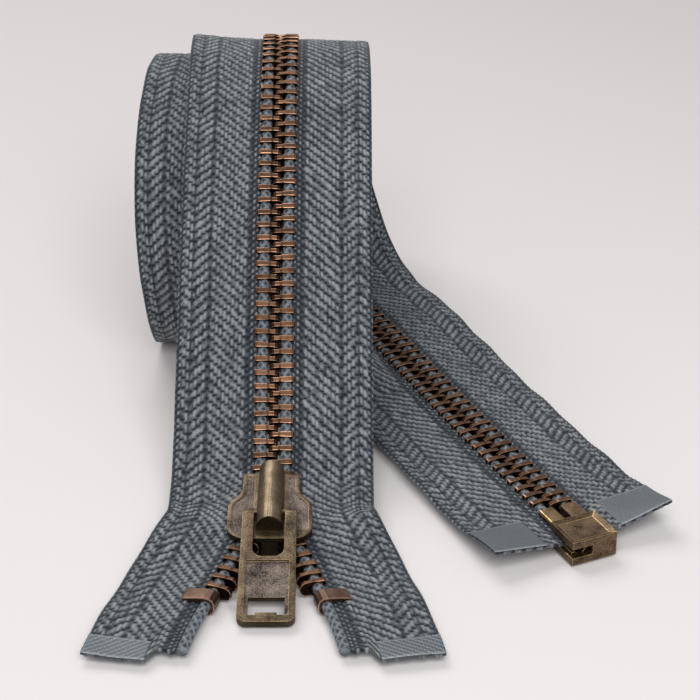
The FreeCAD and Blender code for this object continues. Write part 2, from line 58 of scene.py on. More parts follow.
# each run: length, then at its end pitch, helix, left fold and right fold
CHAIN_RUNS = [
    # slider, front strip and outer crest
    (8.4, 9.4, 0, 0, 0),
    (4.5, 34.5, 0, 0, 0),
    (17, 41, 0, 0, 0),
    (14, 41, 0, 0, 0),
    (24, 34.5, 0, 0, 0),
    (20.5, 27, 0, 0, 0),
    (20.5, 0, 1, 4, -3),
    # down the back of the outer turn, along the floor, up the front
    (43.6, -90, 3.5, 0, 0),
    (43, -180, 5.5, 4, 4),
    (18, -180, 5.5, 4, 4),
    (14, -240, 4.5, 0, 0),
    (19, -270, 3, 0, 0),
    # inner crest and the back of the inner turn
    (17, -315, 0, 0, 0),
    (31.6, -360, -5, 0, 0),
    (36.7, -450, -12, 0, 0),
    (36.5, -530, -20, -20, 0),
    # out along the floor to the retainer box
    (13, -541, -26, -74, 0),
    (18, -538, -25, -68, 0),
    (22, -537.5, -25, 0, 3),
    (45, -540, -25.5, 0, 0),
    (14, -540, -25.5, -9, -11),
]
TOP_RUNS = [(8.35, 9.4), (9.35, 0), (7, 0), (20, 3.5)]
PART_AT = 3.5
SPLAY_RUNS = [(8, 20.5), (13, 17), (9, 16), (14.8, 9.5)]
STEP = 0.25

# ------------------------------------------------------------ sizes, mm
TAPE_HALF = 18.0
CORD_OUT = 2.2
REACH = TAPE_HALF - CORD_OUT        # core cord's centre to the tape's edge
TOOTH_PITCH = 2.7
TOOTH_THICK = 1.2
TOOTH_LEG, TOOTH_HEAD = 1.45, 3.05
STOP_LENGTH, STOP_LEG, STOP_HEAD = 3.0, 4.2, 1.6
PIN_LEG, PIN_HEAD = 1.6, 1.6
PHASE = {-1: 0.0, 1: TOOTH_PITCH / 2}
TOP_STOP_AT = 27.5
FREE_TEETH_END = 24.8
NOTCH_DEPTH = 2.9
NOTCH_SLANT = 1.2
CORD_SHORT = 3.4
FILM_WIDTH = 10.5
FILM_LENGTH = 9.0
TOP_FILM_LENGTH = 4.5
PIN_LENGTH = 11.5
PIN_OUTSIDE = 5.2
BOX_LENGTH = 7.6
BOX_PAST_TAPE = 3.3
BAR_AT = -2.45
BAR_UP = 3.3
PULL_SLOPE = 14.2
PANEL_FROM = 12                     # just before the pull's sunk panel
SIDES = {"left": -1, "right": 1}


def unit_frame(pitch, helix):
    """Unit vectors along, across and out of the strip, from angles in degrees."""
    p, h = np.radians(pitch), np.radians(helix)
    along = np.stack([-np.sin(h), np.cos(h) * np.cos(p), np.cos(h) * np.sin(p)], -1)
    across = np.stack([np.cos(h), np.sin(h) * np.cos(p), np.sin(h) * np.sin(p)], -1)
    out = np.stack([0 * p, -np.sin(p), np.cos(p)], -1)
    return along, across, out


def walk(runs, sign):
    """Rows of distance, x, y, z, pitch, helix, left fold, right fold."""
    distance, point = 0.0, SLIDER_AT
    state = np.array([SLIDER_PITCH, 0.0, 0.0, 0.0])
    rows = [[distance, *point, *state]]
    for run in runs:
        length = run[0]
        target = np.array(tuple(run[1:]) + (0.0,) * (5 - len(run)))
        count = max(1, round(length / STEP))
        for i in range(count):
            middle = state + (target - state) * (i + 0.5) / count
            after = state + (target - state) * (i + 1) / count
            along = unit_frame(middle[0], middle[1])[0]
            point = point + along * (sign * length / count)
            distance += sign * length / count
            rows.append([distance, *point, *after])
        state = target
    return rows


LINE = np.array(walk(TOP_RUNS, -1)[:0:-1] + walk(CHAIN_RUNS, 1))
CHAIN_END = LINE[-1, 0]
BOX_START = CHAIN_END + BOX_PAST_TAPE - BOX_LENGTH
# the frame holds the cross bar's place; everything else hangs on the line
bar_joint = next(j for j in frame["joints"] if j["name"] == "pull_swing")
_bar = unit_frame(np.array(SLIDER_PITCH), np.array(0.0))
ORIGIN = np.array(bar_joint["pos_m"]) / MM - (SLIDER_AT + _bar[0] * BAR_AT + _bar[2] * BAR_UP)


def line_at(s):
    """Point, along, across, out and both folds at distances s, in the row frame, mm."""
    values = [np.interp(s, LINE[:, 0], LINE[:, k]) for k in range(1, 8)]
    point = np.stack(values[:3], -1) + ORIGIN
    along, across, out = unit_frame(values[3], values[4])
    return point, along, across, out, values[5], values[6]


def splay():
    """Rows of length, distance s, offset b and angle of a core cord past the parting point."""
    length, s, b, angle = 0.0, PART_AT, CORD_OUT, 0.0
    rows = [(length, s, b, angle)]
    for run, target in SPLAY_RUNS:
        count = max(1, round(run / STEP))
        for i in range(count):
            a = math.radians(angle + (target - angle) * (i + 0.5) / count)
            s -= run / count * math.cos(a)
            b += run / count * math.sin(a)
            length += run / count
            rows.append((length, s, b, angle + (target - angle) * (i + 1) / count))
        angle = target
    return np.array(rows)


SPLAY = splay()
FREE_LENGTH = SPLAY[-1, 0]
TAPE_FROM = PART_AT - CHAIN_END


def cord_at(t):
    """Distance s, offset b and angle of a core cord, t past the parting point."""
    t = np.asarray(t, float)
    closed = t <= 0
    s = np.where(closed, PART_AT - t, np.interp(t, SPLAY[:, 0], SPLAY[:, 1]))
    b = np.where(closed, CORD_OUT, np.interp(t, SPLAY[:, 0], SPLAY[:, 2]))
    angle = np.where(closed, 0.0, np.interp(t, SPLAY[:, 0], SPLAY[:, 3]))
    return s, b, np.radians(angle)


def cord_frame(t, side):
    """Core cord's centre, outward across the tape, along the cord and out of the face."""
    s, b, a = cord_at(t)
    point, along, across, out, _, _ = line_at(s)
    a, b = a[..., None], b[..., None]
    outward = across * (side * np.cos(a)) + along * np.sin(a)
    return point + across * (side * b), outward, np.cross(out, outward), out


FOLD_FROM, FOLD_LENGTH = 1.5, 1.2
WAVE_RISE = 0.28            # of the soft waves in the tape's loose outer part
WAVE_FROM, WAVE_GROWTH = 3.5, 8
NO_FOLD = 1e-6


def tape_points(side, t, w, h):
    """Points of a tape: t along the cord, w off its centre, h out of the face; all (n, m)."""
    s, b, a = cord_at(t)
    free = a > 0
    s_here = np.where(free, s + w * np.sin(a), s)
    b_here = np.where(free, b + w * np.cos(a), b)
    point, along, across, out, left, right = line_at(s_here)
    fold = np.radians(left if side < 0 else right)
    fold = np.where(free, 0.0, fold)
    # the loose outer part lies in soft waves
    loose = np.clip((w - WAVE_FROM) / WAVE_GROWTH, 0, 1)
    h = h + WAVE_RISE * loose * np.sin(0.42 * t + 1.1 * side) * np.sin(0.13 * t + 0.25 * w)
    # a soft bend next to the teeth, then flat again
    into = np.clip((w - FOLD_FROM) / FOLD_LENGTH, 0, 1)
    turn = fold * into
    safe = np.where(np.abs(fold) < NO_FOLD, 1.0, fold)
    arc = FOLD_LENGTH / safe
    bent = np.abs(fold) >= NO_FOLD
    beyond = np.clip(w - FOLD_FROM - FOLD_LENGTH, 0, None)
    flat_w = np.minimum(w, FOLD_FROM)
    x = np.where(bent, flat_w + arc * np.sin(turn) + beyond * np.cos(fold), w)
    z = np.where(bent, arc * (1 - np.cos(turn)) + beyond * np.sin(fold), 0.0)
    x, z = x - h * np.sin(turn), z + h * np.cos(turn)
    offset = np.where(free, b_here, b + x)
    rise = np.where(free, h, z)
    return point + across * (side * offset)[..., None] + out * rise[..., None]


# ------------------------------------------------------------ mesh helpers
def new_piece(name, verts, faces, material, smooth=True):
    mesh = bpy.data.meshes.new(name)
    mesh.from_pydata([tuple(v) for v in np.asarray(verts) * MM], [], faces)
    mesh.update()
    if smooth:
        mesh.polygons.foreach_set("use_smooth", [True] * len(mesh.polygons))
    piece = bpy.data.objects.new(name, mesh)
    bpy.context.scene.collection.objects.link(piece)
    mesh.materials.append(material)
    return piece


def grid_faces(rows, columns, start=0, flip=False, closed=False):
    """Quads of a grid; closed joins the last column to the first."""
    i = np.arange(rows - 1)[:, None]
    j = np.arange(columns if closed else columns - 1)[None, :]
    k = (j + 1) % columns
    a, b = start + i * columns + j, start + i * columns + k
    c, d = start + (i + 1) * columns + k, start + (i + 1) * columns + j
    quads = np.stack([a, d, c, b] if flip else [a, b, c, d], -1)
    return quads.reshape(-1, 4).tolist()


def point_attribute(mesh, name, values):
    attribute = mesh.attributes.new(name, "FLOAT", "POINT")
    attribute.data.foreach_set("value", np.asarray(values, np.float32).ravel())


def face_attribute(mesh, name, values):
    attribute = mesh.attributes.new(name, "FLOAT", "FACE")
    attribute.data.foreach_set("value", np.asarray(values, np.float32).ravel())


def weave_map(mesh, u, v):
    """A UV map in units of a millimetre: u across the tape, v along it."""
    layer = mesh.uv_layers.new(name="weave")
    index = np.zeros(len(mesh.loops), np.int32)
    mesh.loops.foreach_get("vertex_index", index)
    uv = np.stack([u.ravel()[index], v.ravel()[index]], -1)
    layer.data.foreach_set("uv", uv.astype(np.float32).ravel())


# ------------------------------------------------------------ materials
class Nodes:
    """Short calls for building one node tree."""

    def __init__(self, name):
        self.material = bpy.data.materials.new(name)
        self.material.use_nodes = True
        self.tree = self.material.node_tree
        self.tree.nodes.clear()
        self.shader = self.add("ShaderNodeBsdfPrincipled")
        end = self.add("ShaderNodeOutputMaterial")
        self.link(self.shader.outputs[0], end.inputs["Surface"])

    def add(self, kind, **values):
        node = self.tree.nodes.new(kind)
        for key, value in values.items():
            setattr(node, key, value)
        return node

    def link(self, a, b):
        self.tree.links.new(a, b)

    def fixed(self, **values):
        for key, value in values.items():
            self.shader.inputs[key.replace("_", " ")].default_value = value

    def attribute(self, name):
        return self.add("ShaderNodeAttribute", attribute_name=name).outputs["Fac"]

    def noise(self, scale, detail=3.0, vector=None, rough=0.55):
        node = self.add("ShaderNodeTexNoise")
        node.inputs["Scale"].default_value = scale
        node.inputs["Detail"].default_value = detail
        node.inputs["Roughness"].default_value = rough
        self.link(vector or self.place(), node.inputs["Vector"])
        return node.outputs["Fac"]

    def place(self):
        return self.add("ShaderNodeTexCoord").outputs["Object"]

    def stretched(self, vector, scale):
        node = self.add("ShaderNodeMapping")
        node.inputs["Scale"].default_value = scale
        self.link(vector, node.inputs["Vector"])
        return node.outputs["Vector"]

    def ramp(self, factor, stops):
        node = self.add("ShaderNodeValToRGB")
        elements = node.color_ramp.elements
        while len(elements) < len(stops):
            elements.new(0.5)
        for element, (at, colour) in zip(elements, stops):
            element.position = at
            element.color = (*colour, 1)
        self.link(factor, node.inputs["Fac"])
        return node.outputs["Color"]

    def mix(self, factor, a, b, blend="MIX"):
        node = self.add("ShaderNodeMix", data_type="RGBA", blend_type=blend)
        for value, socket in ((factor, node.inputs[0]), (a, node.inputs[6]), (b, node.inputs[7])):
            if isinstance(value, (int, float)):
                socket.default_value = value
            elif isinstance(value, tuple):
                socket.default_value = (*value, 1)
            else:
                self.link(value, socket)
        return node.outputs[2]

    def math(self, operation, a, b=0.0, clamp=False):
        node = self.add("ShaderNodeMath", operation=operation, use_clamp=clamp)
        for value, socket in ((a, node.inputs[0]), (b, node.inputs[1])):
            if isinstance(value, (int, float)):
                socket.default_value = value
            else:
                self.link(value, socket)
        return node.outputs[0]

    def bump(self, height, strength, distance):
        node = self.add("ShaderNodeBump")
        node.inputs["Strength"].default_value = strength
        node.inputs["Distance"].default_value = distance
        self.link(height, node.inputs["Height"])
        return node.outputs["Normal"]

    def finish(self, color=None, roughness=None, normal=None):
        for value, key in ((color, "Base Color"), (roughness, "Roughness"), (normal, "Normal")):
            if value is not None:
                self.link(value, self.shader.inputs[key])
        return self.material


def woven_material():
    """Slate yarns, with painted highlight on the crowns and navy painted shade in the gaps."""
    n = Nodes("woven_tape")
    uv = n.add("ShaderNodeUVMap", uv_map="weave").outputs["UV"]
    relief = n.attribute("relief")
    cloudy = n.noise(90, 3)
    threads = n.noise(1.0, 3, n.stretched(uv, (8, 3, 1)))
    height = n.math("ADD", relief, n.math("MULTIPLY", n.math("SUBTRACT", threads, 0.5), 0.7))
    # painted shade and highlight: the lower the weave's relief, the darker the colour
    color = n.ramp(
        height,
        [
            (0.14, (0.007, 0.010, 0.015)),
            (0.38, (0.045, 0.053, 0.063)),
            (0.66, (0.140, 0.153, 0.165)),
            (1.00, (0.330, 0.343, 0.352)),
        ],
    )
    shade = n.ramp(cloudy, [(0.3, (0.84, 0.86, 0.90)), (0.7, (1.10, 1.09, 1.06))])
    color = n.mix(1.0, color, shade, "MULTIPLY")
    n.fixed(Roughness=0.8, Specular_IOR_Level=0.3, Sheen_Weight=0.22, Sheen_Roughness=0.4)
    return n.finish(color, None, n.bump(threads, 0.7, 0.00015))


def cord_material():
    n = Nodes("braided_cord")
    relief = n.attribute("relief")
    fibre = n.noise(2600, 2)
    # painted shade: the lower the braid's relief, the darker the colour
    color = n.ramp(
        n.math("ADD", relief, n.math("MULTIPLY", n.math("SUBTRACT", fibre, 0.5), 0.5)),
        [(0.1, (0.022, 0.030, 0.040)), (0.55, (0.115, 0.135, 0.155)), (1.0, (0.30, 0.33, 0.36))],
    )
    n.fixed(Roughness=0.7, Specular_IOR_Level=0.4, Sheen_Weight=0.1)
    return n.finish(color, None, n.bump(fibre, 0.4, 0.00008))


def metal_material(name, dark, body, bright, grain=0.0, rough=(0.30, 0.50)):
    """Antique plated metal: dark in the grain, bright where it's worn, and darkened with painted shade
    where the mesh marks it.
    """
    n = Nodes(name)
    worn = n.attribute("worn")
    patches = n.noise(380, 4)
    fine = n.noise(4200, 2, rough=0.7)
    tone = n.math("ADD", n.math("MULTIPLY", patches, 0.4), n.math("MULTIPLY", fine, 0.6))
    color = n.ramp(tone, [(0.38, dark), (0.62, body)])
    # painted shade: marked faces are mixed towards a darker copy of the dark tone
    painted_shade = n.attribute("painted_shade")
    color = n.mix(painted_shade, color, tuple(0.45 * value for value in dark))
    edge = n.math("MULTIPLY", worn, n.math("ADD", n.math("MULTIPLY", patches, 1.2), 0.15), True)
    color = n.mix(edge, color, bright)
    roughness = n.add("ShaderNodeMapRange")
    roughness.inputs["To Min"].default_value = rough[1]
    roughness.inputs["To Max"].default_value = rough[0]
    n.link(edge, roughness.inputs["Value"])
    n.fixed(Metallic=1.0)
    normal = n.bump(fine, 0.15 + 0.6 * grain, 0.00005 + 0.00010 * grain)
    return n.finish(color, roughness.outputs[0], normal)


def film_material():
    """Clear satin film heat-bonded over the weave, whitish at its cut edges."""
    n = Nodes("stiffening_film")
    uv = n.add("ShaderNodeUVMap", uv_map="weave").outputs["UV"]
    mesh_a = n.add("ShaderNodeTexWave", wave_type="BANDS", bands_direction="X")
    mesh_b = n.add("ShaderNodeTexWave", wave_type="BANDS", bands_direction="Y")
    for wave in (mesh_a, mesh_b):
        wave.inputs["Scale"].default_value = 0.62
        wave.inputs["Distortion"].default_value = 0.8
        n.link(uv, wave.inputs["Vector"])
    fine = n.math("MULTIPLY", mesh_a.outputs["Fac"], mesh_b.outputs["Fac"])
    blotch = n.noise(1.0, 3, n.stretched(uv, (2.2, 2.2, 1)))
    tone = n.math("ADD", n.math("MULTIPLY", n.attribute("relief"), 0.5), n.math("MULTIPLY", fine, 0.35))
    tone = n.math("ADD", tone, n.math("MULTIPLY", n.math("SUBTRACT", blotch, 0.5), 0.5))
    color = n.ramp(
        tone, [(0.1, (0.075, 0.090, 0.105)), (0.5, (0.170, 0.190, 0.210)), (1.0, (0.36, 0.38, 0.39))]
    )
    rim = n.math("MULTIPLY", n.attribute("rim"), n.math("ADD", n.math("MULTIPLY", blotch, 1.6), -0.2), True)
    color = n.mix(rim, color, (0.52, 0.53, 0.53))
    n.fixed(Roughness=0.42, Specular_IOR_Level=0.45, Coat_Weight=0.15, Coat_Roughness=0.3)
    return n.finish(color, None, n.bump(fine, 0.6, 0.0001))


WOVEN = woven_material()
CORD = cord_material()
FILM = film_material()
COPPER = metal_material(
    "antique_copper", (0.014, 0.008, 0.005), (0.095, 0.050, 0.028), (0.74, 0.40, 0.235)
)
STOPS = metal_material(
    "antique_copper_satin", (0.050, 0.030, 0.023), (0.22, 0.135, 0.100), (0.62, 0.38, 0.26), 0.4
)
BRONZE = metal_material(
    "antique_bronze", (0.012, 0.009, 0.007), (0.27, 0.200, 0.130), (0.95, 0.69, 0.38), 0.5
)
CROWN_BRASS = metal_material(
    "crown_brass", (0.190, 0.140, 0.090), (0.50, 0.380, 0.250), (0.88, 0.64, 0.38), 0.15
)
GRAIN = metal_material(
    "bronze_grain", (0.016, 0.012, 0.011), (0.36, 0.295, 0.255), (0.6, 0.45, 0.3), 1.0, (0.4, 0.55)
)
# painted shade: a darker bronze put on the slider's channel, the front under the pull and the crown's front
# face
SHADE = metal_material(
    "bronze_shade", (0.020, 0.015, 0.011), (0.17, 0.125, 0.080), (0.62, 0.44, 0.25)
)
BOXED = metal_material(
    "box_copper", (0.022, 0.015, 0.010), (0.32, 0.220, 0.145), (0.85, 0.56, 0.26), 0.5
)
STEEL = metal_material("spring_steel", (0.35, 0.35, 0.36), (0.55, 0.55, 0.56), (0.8, 0.8, 0.8))


# ------------------------------------------------------------ woven tapes
COLUMN = 0.72               # one warp yarn
PICK = 1 / 3                # a sixth of a float's repeat along the tape
CROWN = (0.0, 0.55, 0.90, 1.0, 0.95, 0.66)      # height along a float
TWILL = 2                   # samples a float steps on from yarn to yarn
TAPE_LOW, TAPE_RISE = 0.15, 0.30    # weave's lowest level and its relief
INNER_EDGE = 0.95
CUT_STRETCH = 9.0           # the last stretch of the grid, drawn in to the cut
FRAY = 1.5                  # how far a cut edge's raggedness reaches in
BOX_HOLD = 0.4              # the weave stays flat this far past the box
BOX_HOLD_WIDTH = 2.6
SELVAGE = 0.7
BANDS = [(2.9, 10.1, -1), (10.1, 13.1, 1), (13.1, 15.0, -1)]


def weave(rows, columns, w, way):
    """Relief from 0 to 1 at each point of the grid, two points to a yarn."""
    j = np.arange(rows)[:, None]
    k = np.arange(columns)[None, :]
    yarn = k // 2
    crest = (k % 2) == 1
    crown = np.array(CROWN)
    relief = np.zeros((rows, columns))
    drift = np.repeat(rng.normal(0, 0.17, (rows // 6 + 1, columns)), 6, axis=0)[:rows]
    for low, high, turn in BANDS:
        inside = (w >= low) & (w < high)
        value = crown[(j + turn * way * TWILL * yarn) % len(CROWN)]
        before = crown[(j + turn * way * TWILL * (yarn - 1)) % len(CROWN)]
        value = np.where(crest, value, 0.40 * (value + before)) * (1 + drift)
        relief = np.where(inside, value, relief)
    ribs = np.where((j // 2 + yarn) % 2 == 0, 0.85, 0.25) * (1 + drift)
    ribs = np.where(crest, ribs, 0.28)
    relief = np.where((w < BANDS[0][0]) | (w >= BANDS[-1][1]), ribs, relief)
    # a groove where the twill turns round
    for low, _, _ in BANDS:
        relief = relief * (1 - 0.6 * np.exp(-(((w - low) / 0.22) ** 2)))
    return np.clip(relief + rng.normal(0, 0.05, (rows, columns)), 0, 1.1)


def tape_end(w):
    """Where the tape is cut at its top end, for each distance off the cord."""
    inner = REACH - FILM_WIDTH
    cut = np.interp(w, [0, inner - NOTCH_SLANT, inner, REACH], [NOTCH_DEPTH, NOTCH_DEPTH, 0, 0])
    cut = cut + np.where(w < inner - NOTCH_SLANT, 0.18 * np.sin(3.1 * w), 0.05 * np.sin(5.3 * w))
    return FREE_LENGTH - cut


def wander(t, w):
    """Yarns stray a little from their lines."""
    return 0.16 * np.sin(1.7 * t + 0.9 * w) * np.sin(0.61 * t - 1.3 * w)


def woven_tape(name, side):
    rows = int((FREE_LENGTH - TAPE_FROM) / PICK)
    t_line = TAPE_FROM + np.arange(rows) * (FREE_LENGTH - TAPE_FROM) / (rows - 1)
    steps = int((REACH - INNER_EDGE) / (COLUMN / 2)) + 1
    w_line = INNER_EDGE + np.arange(steps) * (REACH - INNER_EDGE) / (steps - 1)
    t, w = np.meshgrid(t_line, w_line, indexing="ij")
    # the last stretch is drawn in to the cut line, so the notch is part of the grid
    from_t = FREE_LENGTH - CUT_STRETCH
    end = tape_end(w)
    t = np.where(t > from_t, from_t + (t - from_t) * (end - from_t) / (FREE_LENGTH - from_t), t)
    # cut edges aren't quite straight
    ragged = rng.normal(0, 0.07, steps)
    ragged[-3:] += 0.12
    t = t + ragged * (np.clip(1 - (t - TAPE_FROM) / FRAY, 0, 1) - np.clip(1 - (end - t) / FRAY, 0, 1))
    t = t + wander(t, w)
    layers = []
    for face in (1, -1):
        relief = weave(rows, steps, w, side * face)
        under_top_film = (face > 0) & (t > FREE_LENGTH - TOP_FILM_LENGTH) & (w > REACH - FILM_WIDTH)
        under_bottom = (face < 0) & (t < TAPE_FROM + FILM_LENGTH) & (w > REACH - FILM_WIDTH)
        hidden = under_top_film | under_bottom
        in_box = t < TAPE_FROM + BOX_LENGTH - BOX_PAST_TAPE + BOX_HOLD
        relief = np.where(hidden, np.minimum(relief, 0.45), relief)
        relief = np.where(in_box & (w < BOX_HOLD_WIDTH), np.minimum(relief, 0.6), relief)
        height = face * (TAPE_LOW + TAPE_RISE * relief)
        # the selvage rounds over
        edge = np.clip((w - (REACH - SELVAGE)) / SELVAGE, 0, 1)
        height = height * (1 - 0.45 * edge**2)
        layers.append((tape_points(side, t, w, height), relief))
    verts = np.concatenate([layer[0].reshape(-1, 3) for layer in layers])
    count = rows * steps
    faces = grid_faces(rows, steps, 0, flip=side < 0)
    faces += grid_faces(rows, steps, count, flip=side > 0)

    # rims join the two faces
    def rim(a, b):
        return [[int(p), int(q), int(q) + count, int(p) + count] for p, q in zip(a, b)]

    index = np.arange(count).reshape(rows, steps)
    loops = [
        (index[:-1, 0], index[1:, 0]),
        (index[1:, -1], index[:-1, -1]),
        (index[0, 1:], index[0, :-1]),
        (index[-1, :-1], index[-1, 1:]),
    ]
    for a, b in loops:
        quads = rim(a, b)
        faces += [q[::-1] for q in quads] if side < 0 else quads
    piece = new_piece(name, verts, faces, WOVEN)
    relief = np.concatenate([layer[1].ravel() for layer in layers])
    point_attribute(piece.data, "relief", relief)
    weave_map(piece.data, np.concatenate([w.ravel()] * 2), np.concatenate([t.ravel()] * 2))
    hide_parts(name[: -len("_weave")])
    return piece


# ------------------------------------------------------------ core cords
CORD_SIDES = 22
CORD_STEP = 0.27
CORD_LAY = 1.9              # of the braid
FILM_STEP = 0.15
FILM_LEVEL = 0.335          # underside, off the tape's middle


def core_cord(name, side):
    sides = CORD_SIDES
    start = PART_AT - BOX_START - (PIN_LENGTH - PIN_OUTSIDE)
    end = FREE_LENGTH - CORD_SHORT
    rows = int((end - start) / CORD_STEP)
    t = np.linspace(start, end, rows)[:, None]
    turn = 2 * np.pi * np.arange(sides)[None, :] / sides
    between = 0.5 - 0.5 * np.cos(2 * np.pi * (t - PHASE[side]) / TOOTH_PITCH)
    among_teeth = t < FREE_TEETH_END
    lay = 2 * np.pi * t / CORD_LAY
    plaits = np.maximum(np.sin(4 * turn + lay), np.sin(4 * turn - lay))
    radius = 0.88 + 0.05 * plaits + np.where(among_teeth, 0.11 * between**2, 0.03)
    centre, outward, _, out = cord_frame(np.broadcast_to(t, (rows, sides)), side)
    verts = centre + outward * (radius * np.cos(turn))[..., None]
    verts = verts + out * (radius * np.sin(turn))[..., None]
    faces = grid_faces(rows, sides, 0, flip=side > 0, closed=True)
    first = list(range(sides))
    last = [(rows - 1) * sides + k for k in range(sides)]
    faces += [first[::-1] if side < 0 else first, last if side < 0 else last[::-1]]
    piece = new_piece(name, verts.reshape(-1, 3), faces, CORD)
    # painted shade in the braid's grooves and next to each tooth, painted highlight on the braid's crests
    tone = 0.38 + 0.42 * plaits + 0.15 * (between - 0.5)
    point_attribute(piece.data, "relief", np.clip(tone, 0, 1))
    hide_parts(name[: -len("_braid")])
    return piece


# ------------------------------------------------------------ clamped metal
def clamp_mesh(leg, head, shoulder, rise, half_length, bevel):
    """Verts, faces, worn values and painted shade values of a piece clamped on the cord.

    half_length gives half its length along the cord for each x."""
    mouth, room = 0.46, 1.0
    upper = [(leg, mouth)] + shoulder + [(-head, rise)]
    start = math.asin(mouth / room)
    hole = []
    for k in range(17):
        a = start + (2 * math.pi - 2 * start) * k / 16
        hole.append((room * math.cos(a), room * math.sin(a)))
    outline = upper + [(x, -z) for x, z in reversed(upper)] + hole[::-1]
    bm = bmesh.new()
    rings = []
    for way in (-1, 1):
        rings.append([bm.verts.new((x, way * half_length(x), z)) for x, z in outline])
    count = len(outline)
    for k in range(count):
        m = (k + 1) % count
        bm.faces.new((rings[0][k], rings[0][m], rings[1][m], rings[1][k]))
    bm.faces.new(rings[0][::-1])
    bm.faces.new(rings[1])
    bmesh.ops.recalc_face_normals(bm, faces=bm.faces)
    limit = math.radians(38)
    sharp = [e for e in bm.edges if e.is_manifold and e.calc_face_angle() > limit]
    made = bmesh.ops.bevel(
        bm, geom=sharp, offset=bevel, segments=2, profile=0.5, affect="EDGES", clamp_overlap=True
    )
    edge_faces = set(made["faces"])
    bm.faces.ensure_lookup_table()
    bm.verts.ensure_lookup_table()
    bm.verts.index_update()
    verts = np.array([v.co[:] for v in bm.verts])
    faces, worn, painted_shade = [], [], []
    for face in bm.faces:
        faces.append([v.index for v in face.verts])
        # painted shade: faces standing sideways, towards the neighbouring clamps, are darkened; bevels are
        # not
        painted_shade.append(0.0 if face in edge_faces else 0.85 if abs(face.normal.z) < 0.5 else 0.1)
        inside = face.calc_center_median().xz.length < room * 1.02
        flat_top = abs(face.normal.z) > 0.9
        value = 0.0 if inside else 0.9 if face in edge_faces else 0.24 if flat_top else 0.04
        worn.append(value)
    bm.free()
    return verts, faces, np.array(worn), np.array(painted_shade)


def tooth_half(x):
    """Half a tooth's thickness: the leg is thicker than the head's neck."""
    at = [-3.1, -2.6, -1.9, -1.3, -0.9, 0.4, 1.5]
    half = [0.40, 0.47, 0.46, 0.42, 0.52, 0.50, 0.56]
    return float(np.interp(x, at, half))


TOOTH = clamp_mesh(
    TOOTH_LEG, TOOTH_HEAD,
    [(1.45, 0.95), (1.30, 1.30), (1.0, 1.40), (-0.95, 1.38), (-1.35, 1.24),
     (-2.3, 1.20), (-2.8, 0.95), (-3.02, 0.5)],
    0.0, tooth_half, 0.13,
)
STOP = clamp_mesh(
    STOP_LEG, STOP_HEAD,
    [(4.2, 0.85), (3.9, 1.05), (1.6, 1.50), (0.2, 1.68), (-0.7, 1.60), (-1.35, 1.15)],
    0.5, lambda x: STOP_LENGTH / 2, 0.30,
)
PIN = clamp_mesh(
    PIN_LEG, PIN_HEAD,
    [(1.6, 1.25), (1.35, 1.5), (-1.1, 1.5), (-1.5, 1.25)],
    0.6, lambda x: PIN_LENGTH / 2, 0.10,
)


def clamped_row(name, shape, side, places, material, nodes, loose=0.0, side_shade=1.0):
    """One piece of many clamps at places along the cord."""
    base, base_faces, base_worn, base_painted_shade = shape
    all_verts, all_faces, all_worn = [], [], []
    places = np.asarray(places, float)
    centre, outward, forward, out = cord_frame(places, side)
    for k in range(len(places)):
        tilt, turn = rng.normal(0, loose, 2)
        local = base @ np.array(Matrix.Rotation(tilt, 3, "Z") @ Matrix.Rotation(turn, 3, "X")).T
        verts = centre[k] + local[:, :1] * outward[k] + local[:, 1:2] * forward[k] + local[:, 2:] * out[k]
        offset = len(base) * k
        all_verts.append(verts)
        all_faces += [[i + offset for i in face] for face in base_faces]
        all_worn.append(np.clip(base_worn * rng.uniform(0.6, 1.15), 0, 1))
    piece = new_piece(name, np.concatenate(all_verts), all_faces, material, smooth=False)
    face_attribute(piece.data, "worn", np.concatenate(all_worn))
    # painted shade per face, scaled down by side_shade
    face_attribute(piece.data, "painted_shade", np.tile(base_painted_shade, len(places)) * side_shade)
    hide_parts(*nodes)
    return piece


def tooth_places(side, first, last):
    start = math.ceil((first - PHASE[side]) / TOOTH_PITCH)
    end = math.ceil((last - PHASE[side]) / TOOTH_PITCH)
    return [PHASE[side] + k * TOOTH_PITCH for k in range(start, end)]


# ------------------------------------------------------------ films
def film(name, side, first, last, face, node):
    low_w = REACH - FILM_WIDTH
    rows = int((last - first) / FILM_STEP) + 1
    steps = int(FILM_WIDTH / FILM_STEP) + 1
    t, w = np.meshgrid(np.linspace(first, last, rows), np.linspace(low_w, REACH, steps), indexing="ij")
    ridges = 0.5 + 0.5 * np.sin(2 * np.pi * (t - 0.8 * w * face) / 1.05)
    soft = np.minimum(np.minimum(t - first, last - t), np.minimum(w - low_w, REACH - w))
    soft = np.clip(soft / 0.3, 0, 1)
    ridge_rise = 0.045 if face > 0 else 0.02
    verts = []
    for level in (1, 0):
        height = face * (FILM_LEVEL + level * (0.035 + 0.06 * soft + ridge_rise * ridges * soft))
        verts.append(tape_points(side, t, w, height).reshape(-1, 3))
    count = rows * steps
    way = side * face
    faces = grid_faces(rows, steps, 0, flip=way < 0) + grid_faces(rows, steps, count, flip=way > 0)
    index = np.arange(count).reshape(rows, steps)
    ring = list(index[0, :]) + list(index[1:, -1]) + list(index[-1, -2::-1]) + list(index[-2:0:-1, 0])
    for p, q in zip(ring, ring[1:] + ring[:1]):
        quad = [int(p), int(p) + count, int(q) + count, int(q)]
        faces.append(quad if way > 0 else quad[::-1])
    piece = new_piece(name, np.concatenate(verts), faces, FILM)
    relief = ridges if face > 0 else 0.5 + 0 * ridges
    point_attribute(piece.data, "relief", np.concatenate([relief.ravel()] * 2))
    pale = np.clip(1 - np.minimum(t - first, last - t) / 0.45, 0, 1)
    point_attribute(piece.data, "rim", np.concatenate([pale.ravel()] * 2))
    weave_map(piece.data, np.concatenate([w.ravel()] * 2), np.concatenate([t.ravel()] * 2))
    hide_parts(node)
    return piece


